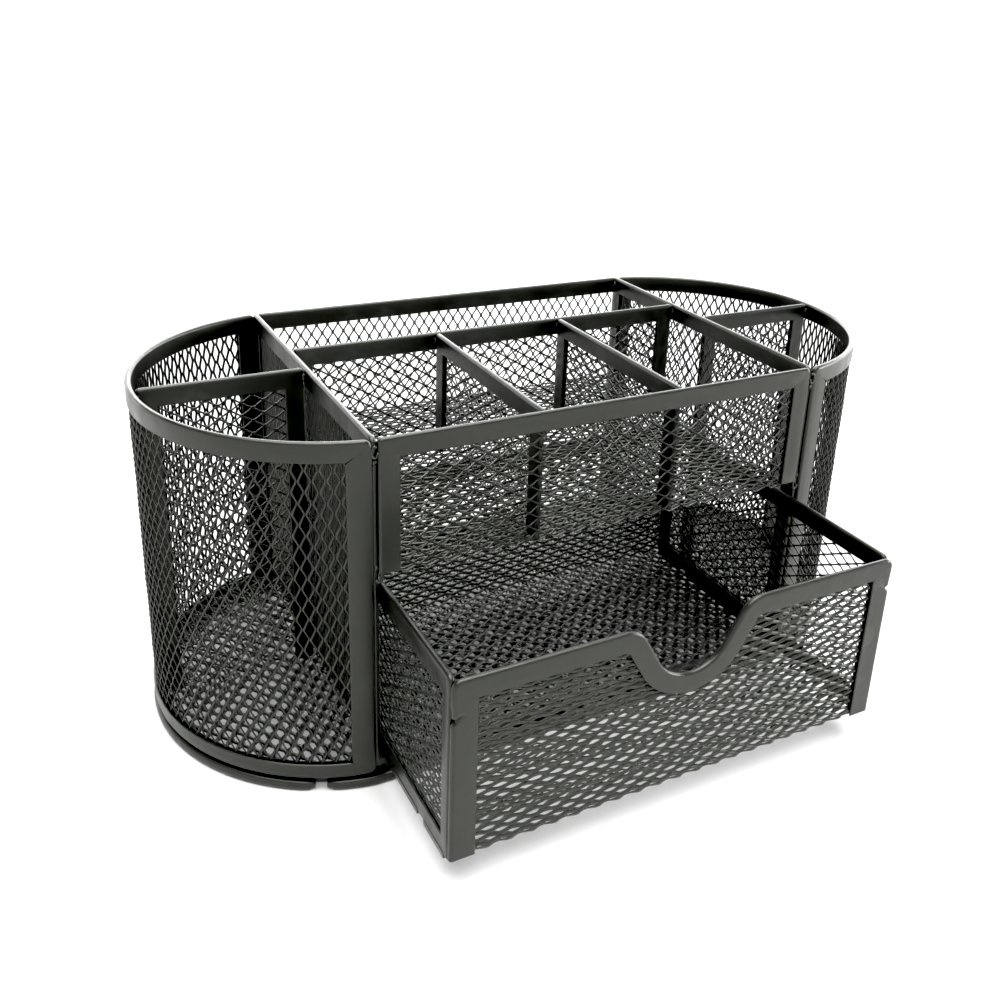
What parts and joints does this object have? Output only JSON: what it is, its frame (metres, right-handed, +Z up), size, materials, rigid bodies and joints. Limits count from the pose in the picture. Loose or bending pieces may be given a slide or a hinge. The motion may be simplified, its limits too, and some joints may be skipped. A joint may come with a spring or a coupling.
{
  "type": "desk organizer",
  "caption": "Oval desk organizer of black expanded metal mesh with divided pen cups, trays, a note slot and a sliding drawer.",
  "frame": {"origin": "on the table at the middle of the case's base", "axes": "+X to the right along the length, +Y to the back, +Z up; the drawer opens along -Y"},
  "size_m": [0.2286, 0.15, 0.1],
  "materials": {
    "strip": "satin black paint on folded steel strip",
    "mesh": "satin black paint on expanded steel mesh"
  },
  "bodies": {
    "case": {"base_mesh": "mesh", "base_hem": "strip", "cup_wall_mesh_left": "mesh", "cup_wall_mesh_right": "mesh", "cup_top_rim_left": "strip", "cup_top_rim_right": "strip", "cup_bottom_band_left": "strip", "cup_bottom_band_right": "strip", "cup_front_post_left": "strip", "cup_front_post_right": "strip", "cup_back_post_left": "strip", "cup_back_post_right": "strip", "cup_divider_mesh_left": "mesh", "cup_divider_mesh_right": "mesh", "cup_divider_frame_left": "strip", "cup_divider_frame_right": "strip", "side_wall_mesh_left": "mesh", "side_wall_mesh_right": "mesh", "side_wall_frame_left": "strip", "side_wall_frame_right": "strip", "back_wall_mesh": "mesh", "back_top_rim": "strip", "back_bottom_band": "strip", "tray_mesh": "mesh", "tray_front_frame": "strip", "middle_wall_mesh": "mesh", "middle_wall_frame": "strip", "tray_divider_mesh_left": "mesh", "tray_divider_mesh_right": "mesh", "tray_divider_frame_left": "strip", "tray_divider_frame_right": "strip"},
    "drawer": {"drawer_tub_mesh": "mesh", "drawer_front_frame": "strip", "drawer_side_mesh_left": "mesh", "drawer_side_mesh_right": "mesh", "drawer_side_frame_left": "strip", "drawer_side_frame_right": "strip", "drawer_back_rim": "strip", "drawer_runner_left": "strip", "drawer_runner_right": "strip"}
  },
  "joints": [
    {"name": "drawer_slide", "type": "slide", "parent": "case", "child": "drawer", "axis": [0, -1, 0], "range_m": [-0.0417, 0.048]}
  ]
}
